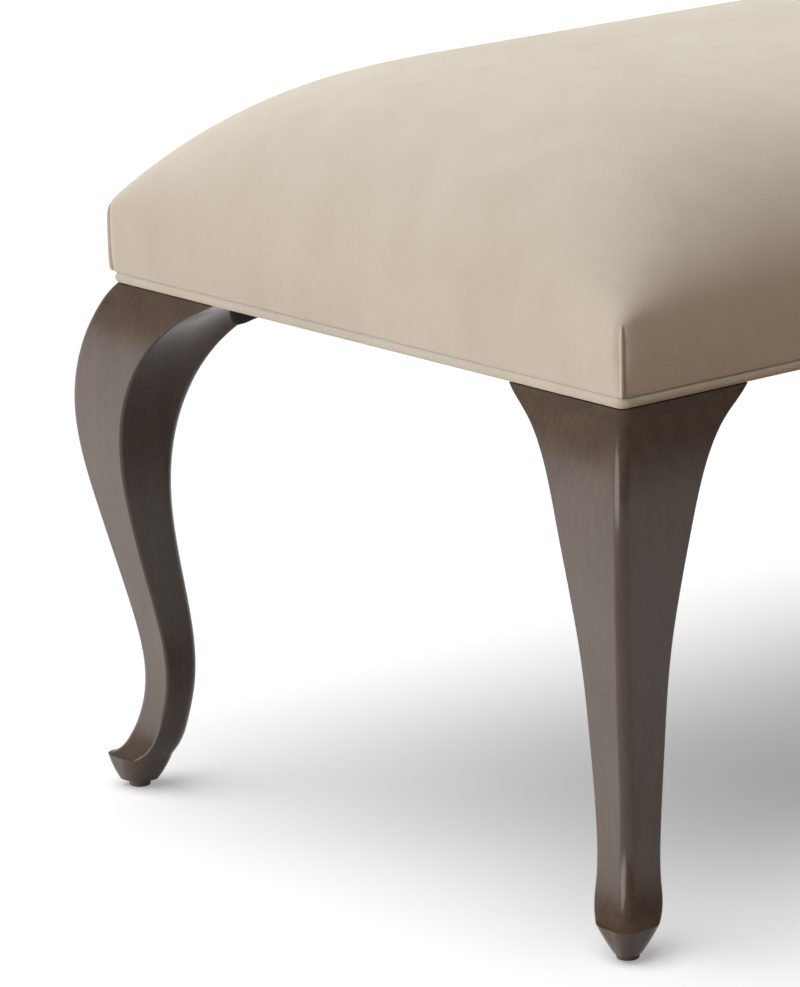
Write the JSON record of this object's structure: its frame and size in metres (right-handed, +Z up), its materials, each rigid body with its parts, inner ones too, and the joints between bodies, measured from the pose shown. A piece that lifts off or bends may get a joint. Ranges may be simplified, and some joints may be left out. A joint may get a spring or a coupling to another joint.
{
  "type": "bed bench",
  "caption": "Upholstered bed bench: crowned velvet seat with a piped bottom edge on square cabriole legs of dark stained wood, for sitting at the foot of a bed.",
  "frame": {"origin": "on the floor under the middle of the bench", "axes": "+X along the bench to its right, seen from the front; +Y from front to back; +Z up"},
  "size_m": [1.2414, 0.5414, 0.5],
  "materials": {
    "velvet": "short-pile champagne velvet with a soft sheen",
    "stained_wood": "dark taupe-brown stain, satin",
    "frame_wood": "planed, unfinished",
    "glide_plastic": "dark brown, matt",
    "zinc_steel": "zinc plated",
    "webbing": "woven elastic strap",
    "deck_cloth": "plain non-woven cloth",
    "foam": "open-cell polyurethane foam",
    "wadding": "polyester wadding",
    "dust_cloth": "black non-woven cloth"
  },
  "bodies": {
    "root": {"back_left_block": "frame_wood", "back_left_glide": "glide_plastic", "back_left_leg": "stained_wood", "back_rail": "frame_wood", "back_right_block": "frame_wood", "back_right_glide": "glide_plastic", "back_right_leg": "stained_wood", "block_screws": "zinc_steel", "bolt_nuts": "zinc_steel", "bolt_washers": "zinc_steel", "centre_brace": "frame_wood", "cross_web_1": "webbing", "cross_web_2": "webbing", "cross_web_3": "webbing", "cross_web_4": "webbing", "cross_web_5": "webbing", "cross_web_6": "webbing", "cross_web_7": "webbing", "deck_cloth": "deck_cloth", "dust_cover": "dust_cloth", "foam_core": "foam", "front_left_block": "frame_wood", "front_left_glide": "glide_plastic", "front_left_leg": "stained_wood", "front_rail": "frame_wood", "front_right_block": "frame_wood", "front_right_glide": "glide_plastic", "front_right_leg": "stained_wood", "glide_nails": "zinc_steel", "hanger_bolts": "zinc_steel", "left_rail": "frame_wood", "long_web_1": "webbing", "long_web_2": "webbing", "long_web_3": "webbing", "padding_wrap": "wadding", "rail_dowels": "frame_wood", "right_rail": "frame_wood", "seat_cover": "velvet", "welt_piping": "velvet"}
  },
  "joints": []
}
